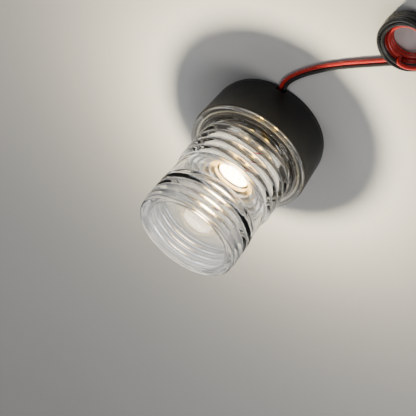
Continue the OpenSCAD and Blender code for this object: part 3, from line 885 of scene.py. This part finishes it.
def makeBase(s, thread):
    base = spinOutline("baseHousing", baseOutline(s), s["steps"])
    for which in ("mount", "ear", "standoff"):
        combine(base, bosses(s[which], s, which + "Boss"), "UNION")
    combine(base, threadRib(thread, "base", "baseThread"), "UNION")
    mount = s["mount"]
    for drill in (cylinder(mount["hole"], mount["top"] + 2, -1), cylinder(mount["head"], 5, mount["headLow"])):
        combine(base, around(drill, mount), "DIFFERENCE")
    pilots = []
    for post in (s["ear"], s["standoff"]):
        pilots += around(cylinder(s["pilot"], s["pilotDepth"] + 1, post["top"] - s["pilotDepth"], 32), post)
    combine(base, pilots, "DIFFERENCE")
    width, reach, top = s["channel"]
    channel = block((width, reach, top + 1), (0, -reach / 2, (top - 1) / 2))
    for cutter in (channel, cylinder(s["grommet"], s["floor"] + 2, 0)):
        combine(base, [cutter], "DIFFERENCE")
    settle(base, s["smooth"])
    wear(base, "basePlastic")
    settlePiece(base, "baseHousing", "base", "base_plastic", "base_housing")


makeBase(baseSettings, threadSettings)
print("base made")


ledSettings = {
    "size": (2.8, 3.5, 0.8), "edge": 0.12, "frame": 0.32, "cornerRound": 0.45, "cup": 0.16, "cupTaper": 0.9,
    "smooth": 30,
    "side": {"count": 6, "angle": 0, "circle": 7, "middle": 31.1, "rows": 2, "pitch": 5.2},
    "top": {"height": 38.8, "grid": 3, "pitch": (3.6, 4.2)},
}


def makeLedPackage(s, frameMaterial, phosphor):
    # a moulded frame with a shallow cup of phosphor, face up on z = 0
    led = block(s["size"], (0, 0, s["size"][2] / 2), "ledPackage")
    bevelEdges(led, s["edge"], 2)
    selectFaces(led, lambda centre, normal: normal.z > 0.99)
    bpy.ops.mesh.inset(thickness=(s["frame"] - s["edge"]) * mm)
    bpy.ops.mesh.bevel(offset=s["cornerRound"] * mm, segments=5, affect="VERTICES")
    endEdit()
    wear(led, frameMaterial, phosphor)
    selectFaces(led, lambda centre, normal: normal.z > 0.99 and centre.xy.length < 0.1 * mm)
    bpy.ops.mesh.extrude_region_move(TRANSFORM_OT_translate={"value": (0, 0, -s["cup"] * mm)})
    bpy.ops.transform.resize(value=(s["cupTaper"], s["cupTaper"], 1), center_override=(0, 0, 0))
    assignMaterial(led, 1)
    endEdit()
    return led


def makeLeds(s, name, led, places, nodes):
    copies = [copyOf(led, place) for place in places]
    bpy.data.objects.remove(led)
    leds = settle(joinAll(copies), s["smooth"])
    settlePiece(leds, name, "base", "led_phosphor", *nodes)


def makeSideLeds(s):
    led = makeLedPackage(s, "ledBody", "sidePhosphor")
    side = s["side"]
    outwards = Matrix(((0, 0, 1, 0), (1, 0, 0, 0), (0, 1, 0, 0), (0, 0, 0, 1)))
    places = []
    for k in range(side["count"]):
        for row in range(side["rows"]):
            height = side["middle"] + (row - (side["rows"] - 1) / 2) * side["pitch"]
            out = Matrix.Translation((side["circle"] * mm, 0, height * mm))
            places.append(turned(360 * k / side["count"]) @ out @ outwards)
    makeLeds(s, "sideLedPackages", led, places, ["side_leds_%d" % (k + 1) for k in range(side["count"])])


def makeTopLeds(s):
    led = makeLedPackage(s, "topLedBody", "topPhosphor")
    top = s["top"]
    half = (top["grid"] - 1) / 2
    columns, rows = ([(i - half) * pitch * mm for i in range(top["grid"])] for pitch in top["pitch"])
    places = [Matrix.Translation((x, y, top["height"] * mm)) for x in columns for y in rows]
    makeLeds(s, "topLedPackages", led, places, ["top_leds"])


makeSideLeds(ledSettings)
makeTopLeds(ledSettings)
print("LED packages made")


screwSettings = {
    "board": {"node": "board_screws", "head": 2, "high": 1.3, "shank": 1.05, "length": 4,
              "count": 3, "angle": 45, "circle": 11, "seat": 13},
    "cover": {"node": "cover_screws", "head": 2, "high": 1.3, "shank": 1.05, "length": 5.2,
              "count": 3, "angle": 30, "circle": 19.2, "seat": 10.6},
    "post": {"node": "post_screws", "head": 1.6, "high": 1, "shank": 0.85, "length": 3.6,
             "count": 2, "angle": 0, "circle": 9, "seat": 24.4},
}
screwShape = {
    "dome": (12, 26, 40, 54, 68, 80), "domeFoot": 0.45, "headFoot": (0.4, 0.12, 0.1),
    "pitch": 0.45, "core": 0.8, "point": 0.7, "plain": 1.1,
    "bar": (1.15, 0.24), "twist": (17, 41), "smooth": 30,
}


def screwOutline(s, shape):
    head, high, shank, length = s["head"], s["high"], s["shank"], s["length"]
    foot, core = shape["domeFoot"], shank * shape["core"]
    outline = [(0, high)]
    for degrees in shape["dome"]:
        across, up = math.sin(math.radians(degrees)), math.cos(math.radians(degrees))
        outline.append((head * across ** 0.8, high * (foot + (1 - foot) * up ** 0.7)))
    side, low, edge = shape["headFoot"]
    outline += [(head, high * side), (head, low), (head - edge, 0), (shank, 0)]
    for k in range(int((length - shape["plain"]) / shape["pitch"])):
        top = -0.3 - shape["pitch"] * k
        outline += [(shank, top), (core, top - 0.2), (core, top - 0.26)]
    return outline + [(core, -length + shape["point"]), (0.1, -length), (0, -length)]


def makeScrews(name, s, shape):
    # a domed head with a cross recess, and a ringed shank to a point
    screw = spinOutline(name, screwOutline(s, shape), 32, shape["smooth"])
    long, thin = (s["head"] * share for share in shape["bar"])
    high = s["high"]
    cross, other = (block(size, (0, 0, high)) for size in ((long, thin, high), (thin, long, high)))
    combine(cross, [other], "UNION")
    combine(screw, [cross], "DIFFERENCE")
    settle(screw, shape["smooth"])
    screws = joinAll(around(screw, s, s["seat"], shape["twist"]))
    wear(screws, "steelScrews")
    settlePiece(screws, name + "Screws", "base", "steel_screws", s["node"])


for name, s in screwSettings.items():
    makeScrews(name, s, screwShape)
print("screws made")


stripSettings = {
    "side": {"count": 6, "angle": 0, "circle": 0, "size": (1, 5.4, 12.2), "radius": 6, "low": 25, "edge": 0.12,
             "pad": (0.12, 1.6, 0.7), "padEdge": 0.05, "padGap": 0.4, "padProud": 0.02, "padUp": 1.1},
    "top": {"radius": 8.2, "low": 37.6, "thick": 1.2, "edge": 0.15},
}


def makeSideBoards(s):
    # a board on each flat, with a pair of solder pads at its lower end
    thick, width, tall = s["size"]
    board = block(s["size"], (s["radius"] + thick / 2, 0, s["low"] + tall / 2), "sideBoard")
    bevelEdges(board, s["edge"], 2)
    wear(board, "ledBoard", "tinnedCopper")
    parts = [board]
    for side in (-1, 1):
        across = side * (s["pad"][1] / 2 + s["padGap"])
        pad = block(s["pad"], (s["radius"] + thick + s["padProud"], across, s["low"] + s["padUp"]), "pad")
        bevelEdges(pad, s["padEdge"], 2)
        wear(pad, "ledBoard", "tinnedCopper")
        startEdit(pad)
        assignMaterial(pad, 1)
        endEdit()
        parts.append(pad)
    boards = settle(joinAll(around(joinAll(parts), s)), 30)
    nodes = ["side_board_%d" % (k + 1) for k in range(s["count"])]
    settlePiece(boards, "sideBoards", "base", "led_board", *nodes)


def makeTopBoard(s):
    r, low, high, edge = s["radius"], s["low"], s["low"] + s["thick"], s["edge"]
    outline = [(0, low), (r - edge, low), (r, low + edge), (r, high - edge), (r - edge, high), (0, high)]
    board = spinOutline("topBoard", outline, 72, 30)
    wear(board, "topBoard")
    settlePiece(board, "topBoard", "base", "led_board", "top_board")


makeSideBoards(stripSettings["side"])
makeTopBoard(stripSettings["top"])
print("LED boards made")


tieSettings = {
    "angle": 240, "width": 2.6, "band": 0.5, "inner": 7.2, "outer": 12.6, "low": 0.5, "high": 7.7,
    "outsideRound": 1.6, "insideRound": 1.1,
    "head": (3.4, 4.2, 4), "headRound": 0.45, "headSink": 0.3, "slot": (0.9, 2.9), "slotIn": 0.1,
    "tail": 6, "tailThick": 0.6, "tailDrop": 2.2,
    "ribs": 14, "rib": 0.16, "ribLow": 2, "ribFree": 0.6, "ribWide": 0.6,
}


def roundedFrame(size, centre, rounding, name):
    # a block whose four edges along Y are rounded
    obj = block(size, centre, name)
    bevelEdges(obj, rounding, 6, lambda a, b: abs(a.y - b.y) > mm)
    return obj


def makeTie(s, leads):
    # a ribbed nylon strap round the coil, with its head on the outside and a cut end
    wide, deep, tall = s["outer"] - s["inner"], s["width"], s["high"] - s["low"]
    middle, up = (s["outer"] + s["inner"]) / 2, (s["low"] + s["high"]) / 2
    band = 2 * s["band"]
    strap = roundedFrame((wide + band, deep, tall + band), (middle, 0, up), s["outsideRound"], "leadTie")
    hole = roundedFrame((wide, deep * 3, tall), (middle, 0, up), s["insideRound"], "tieHole")
    combine(strap, [hole], "DIFFERENCE")
    headPlace = s["outer"] + s["band"] + s["head"][0] / 2
    tailPlace = headPlace - s["slotIn"]
    head = block(s["head"], (headPlace - s["headSink"], 0, up), "tieHead")
    bevelEdges(head, s["headRound"], 3)
    combine(head, [block((*s["slot"], s["head"][2] * 2), (tailPlace, 0, up))], "DIFFERENCE")
    tail = block((s["tailThick"], deep, s["tail"]), (tailPlace, 0, up + s["tail"] / 2 - s["tailDrop"]), "tieTail")
    ribSize, ribPlace = (s["rib"] * 2, deep * s["ribWide"], s["rib"]), tailPlace + s["tailThick"] / 2
    for k in range(s["ribs"]):
        height = up - s["ribLow"] + (s["tail"] - s["ribFree"]) * k / s["ribs"]
        combine(tail, [block(ribSize, (ribPlace, 0, height))], "UNION")
    strap = joinAll([strap, head, tail])
    coilX, coilY = leads["coilCentre"]
    strap.data.transform(Matrix.Translation((coilX * mm, coilY * mm, 0)) @ turned(s["angle"]))
    settle(strap, 35)
    wear(strap, "tieNylon")
    return settlePiece(strap, "leadTie", "base", "tie_nylon", "coil_tie")


tie = makeTie(tieSettings, leadSettings)


tipSettings = {
    "strands": 7, "strandRadius": 0.19, "ring": 0.38, "length": 6, "turns": 0.9, "points": 20,
    "inside": 0.6, "flare": 0.25,
}


def makeTip(lead, name, node, s):
    # a twist of fine tinned strands that leaves the cut insulation
    end, before = Vector(lead["tail"][-1]), Vector(lead["tail"][-2])
    along = end - before
    along.z = 0
    outwards = along.to_track_quat("Z", "Y").to_matrix()
    strands = []
    for k in range(s["strands"]):
        places = []
        for i in range(s["points"]):
            share = i / (s["points"] - 1)
            angle = 2 * math.pi * (k / (s["strands"] - 1) + s["turns"] * share)
            spread = (s["ring"] if k else 0) * (1 + s["flare"] * share * share)
            place = Vector((spread * math.cos(angle), spread * math.sin(angle), s["length"] * share - s["inside"]))
            places.append((end + outwards @ place) * mm)
        pick(tubeAlong("strand", places, s["strandRadius"], 2))
        bpy.ops.object.convert(target="MESH")
        strands.append(closeMesh(bpy.context.object))
    tip = settle(joinAll(strands), 40)
    wear(tip, "tinnedCopper")
    return settlePiece(tip, name, "base", "tinned_copper", node)


redTip = makeTip(redLead, "redTip", "red_tip", tipSettings)
blackTip = makeTip(blackLead, "blackTip", "black_tip", tipSettings)

for cord, lead, tip, colour, nodes in (
        (redCord, redLead, [redTip, tie], "red", ("red_lead", "red_tail", "lead_coil")),
        (blackCord, blackLead, [blackTip], "black", ("black_lead", "black_tail"))):
    wear(cord, colour + "Insulation")
    settlePiece(cord, lead["name"], "base", colour + "_insulation", *nodes)


nodeMaterials = {
    "mounting_gasket": "gasketRubber", "cable_grommet": "gasketRubber", "driver_board": "circuitBoard",
    "drum_inductor": "ferrite", "bridge_rectifier": "chipBlack", "driver_chip": "chipBlack",
    "input_capacitor": "capacitorSleeve", "output_capacitor": "capacitorSleeve", "chip_resistors": "chipBlack",
    "driver_cover": "coverPlastic", "led_post": "postAluminium", "lens_seal": "sealRubber",
    "feed_wire_red": "redInsulation", "feed_wire_black": "blackInsulation",
}
for node, material in nodeMaterials.items():
    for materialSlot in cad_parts[node].material_slots:
        materialSlot.material = materials[material]
print("carried-over parts finished")


studioSettings = {
    "floor": {"size": 6, "low": -0.0001, "tones": ((0.54, 0.54, 0.535), (0.60, 0.60, 0.595)),
              "clouds": (6, 4), "grain": (900, 2), "rough": 0.75, "depth": 0.05},
    # a broad soft wall of light behind the object, fading out to the sides and overhead
    "air": {"colour": (1, 0.99, 0.975), "plain": 0.16, "wall": 2.4, "across": (0.6, 0.92),
            "foot": (0.1, 0.28), "head": (0.7, 0.5)},
    "glow": {"place": (0, 0, 0.048), "size": 0.006, "watts": 3.2, "colour": (1, 0.80, 0.52)},
    # place, aim, size, spread, watts, colour
    "lights": {
        "keyLight": ((-0.55, -0.1, 0.75), (-0.02, -0.05, 0.02), 0.4, 120, 1.2, (1, 0.98, 0.95)),
        "fillLight": ((0.6, -0.4, 0.7), (0.02, -0.05, 0.02), 0.4, 120, 0.5, (0.93, 0.96, 1)),
    },
}


def makeFloor(s):
    material, tree, place = startMaterial("paleFloor")
    inputs = {"Roughness": s["rough"], "Base Color": tree.mix(tree.noise(place, *s["clouds"]), *s["tones"])}
    finishMaterial(tree, inputs, tree.noise(place, *s["grain"]), s["depth"], bumpDepth * 2)
    deselectAll()
    bpy.ops.mesh.primitive_plane_add(size=s["size"], location=(0, 0, s["low"]))
    floor = bpy.context.object
    floor.name = "paleFloor"
    floor.data.materials.append(material)


def addLight(name, kind, place, power, colour):
    deselectAll()
    bpy.ops.object.light_add(type=kind, location=place)
    light = bpy.context.object
    light.name = name
    light.data.energy = power
    light.data.color = colour
    return light


def makeLights(s):
    for name, (place, aim, size, spread, power, colour) in s["lights"].items():
        light = addLight(name, "AREA", place, power, colour)
        light.data.shape = "DISK"
        light.data.size = size
        light.data.spread = math.radians(spread)
        light.rotation_euler = (Vector(aim) - Vector(place)).to_track_quat("-Z", "Y").to_euler()
    # the LEDs' own warm light, which falls on the floor round the base
    glow = addLight("ledGlow", "POINT", s["glow"]["place"], s["glow"]["watts"], s["glow"]["colour"])
    glow.data.shadow_soft_size = s["glow"]["size"]
    glow.visible_camera = glow.visible_glossy = glow.visible_transmission = False


def makeAir(s):
    world = bpy.data.worlds.new("studioAir")
    world.use_nodes = True
    tree = treeMaker(world.node_tree)
    way = tree.add("ShaderNodeTexCoord").outputs["Generated"]
    way = tree.add("ShaderNodeSeparateXYZ", {"Vector": way}).outputs
    wall = tree.times(tree.spread(way["Y"], *s["across"]), tree.spread(way["Z"], *s["foot"]))
    wall = tree.times(wall, tree.spread(way["Z"], *s["head"]))
    sky = world.node_tree.nodes["Background"].inputs
    tree.feed(sky["Color"], (*s["colour"], 1))
    tree.feed(sky["Strength"], tree.spread(wall, 0, 1, s["plain"], s["wall"]))
    bpy.context.scene.world = world


makeFloor(studioSettings["floor"])
makeLights(studioSettings)
makeAir(studioSettings["air"])
print("studio set")
